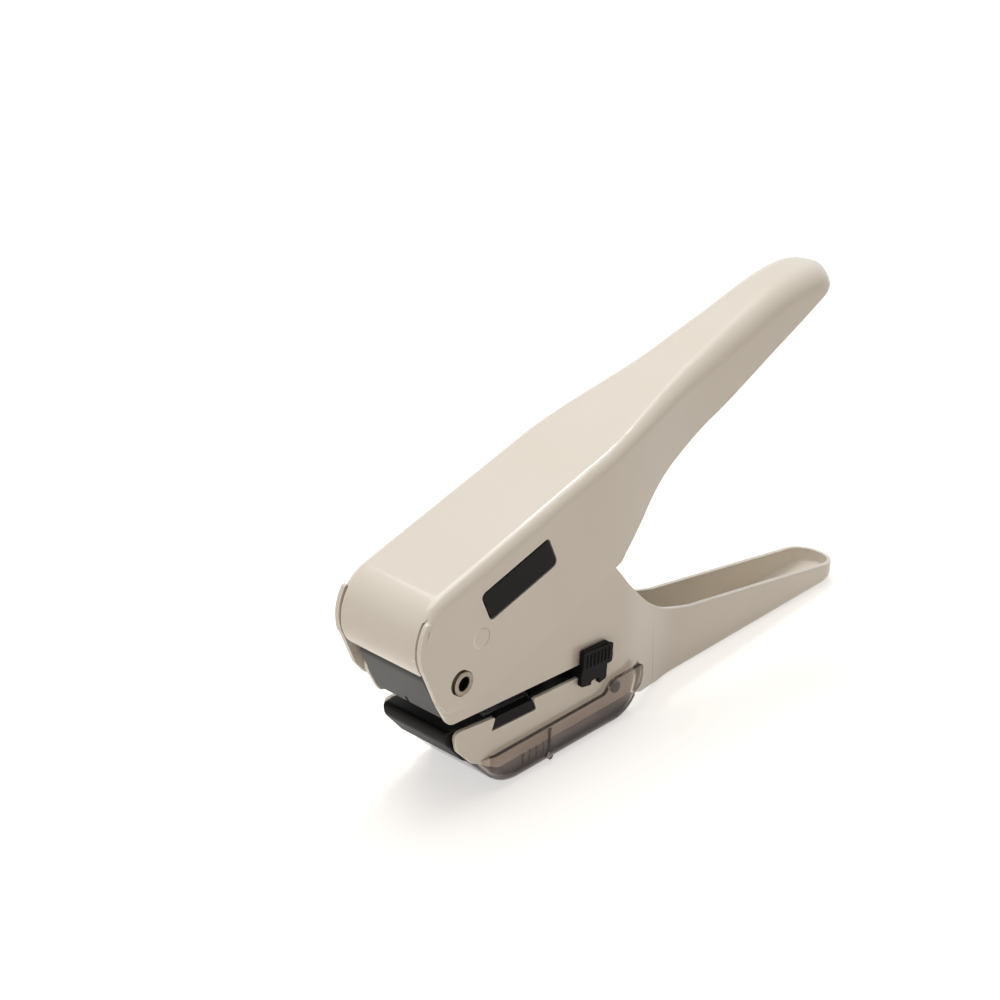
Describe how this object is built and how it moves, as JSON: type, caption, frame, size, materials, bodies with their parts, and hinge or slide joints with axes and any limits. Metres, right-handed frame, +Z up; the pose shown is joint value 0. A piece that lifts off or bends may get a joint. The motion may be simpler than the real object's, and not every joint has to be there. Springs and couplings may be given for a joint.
{
  "type": "card hole punch",
  "caption": "Hand-held squeeze punch that cuts a slot in cards and badges, with a sliding depth stop and a hinged chip tray.",
  "frame": {"origin": "centre of the bounding box at its lowest plane, where the lower handle and the chip tray stand on the table", "axes": "+X from the nose to the ends of the handles, +Y across the punch, +Z up"},
  "size_m": [0.1719, 0.0288, 0.0976],
  "materials": {
    "ivory_paint": "semi-gloss",
    "black_plastic": "satin",
    "grey_plastic": "satin",
    "smoke_plastic": "translucent gloss",
    "washer_plastic": "satin",
    "tool_steel": "ground",
    "spring_steel": "drawn",
    "nickel_plate": "polished"
  },
  "bodies": {
    "frame": {"frame": "ivory_paint", "head_block": "grey_plastic", "punch_guide": "tool_steel", "guide_screw_1": "tool_steel", "guide_screw_2": "tool_steel", "guide_screw_3": "tool_steel", "guide_screw_4": "tool_steel", "die_block": "black_plastic", "die_plate": "tool_steel", "die_screw_1": "tool_steel", "die_screw_2": "tool_steel", "die_screw_3": "tool_steel", "die_screw_4": "tool_steel", "fulcrum_rivet": "nickel_plate", "fulcrum_washer_1": "washer_plastic", "fulcrum_washer_2": "washer_plastic", "stop_pin": "tool_steel", "block_pin": "tool_steel", "carrier_guide_pin_1": "tool_steel", "carrier_guide_pin_2": "tool_steel", "tray_hinge_pin_1": "black_plastic", "tray_hinge_pin_2": "black_plastic", "return_spring_front": "spring_steel", "return_spring_rear": "spring_steel"},
    "lever": {"lever": "ivory_paint", "pressure_block": "black_plastic", "wear_plate": "tool_steel", "wear_plate_rivet_1": "tool_steel", "wear_plate_rivet_2": "tool_steel"},
    "punch": {"punch_blade": "tool_steel", "punch_carrier": "tool_steel", "punch_cap": "tool_steel"},
    "slider": {"depth_slider": "black_plastic", "slider_leaf": "spring_steel"},
    "tray": {"chip_tray": "smoke_plastic"}
  },
  "joints": [
    {"name": "lever_hinge", "type": "hinge", "parent": "frame", "child": "lever", "pos_m": [-0.07145, 0, 0.0366], "axis": [0, 1, 0], "range_deg": [0, 13.8], "stiffness_Nm_per_rad": 2.46, "springref_deg": -14},
    {"name": "punch_slide", "type": "slide", "parent": "frame", "child": "punch", "axis": [-0.0593, 0, -0.9982], "range_m": [0, 0.00492], "deforming": ["return_spring_front", "return_spring_rear"]},
    {"name": "slider_slide", "type": "slide", "parent": "frame", "child": "slider", "axis": [-0.9982, 0, 0.0593], "range_m": [0, 0.015]},
    {"name": "tray_hinge", "type": "hinge", "parent": "frame", "child": "tray", "pos_m": [-0.01505, 0, 0.0109], "axis": [0, -1, 0], "range_deg": [0, 40]}
  ],
  "couplings": [
    {"joint": "punch_slide", "follows": "lever_hinge", "m_per_rad": 0.0203}
  ]
}
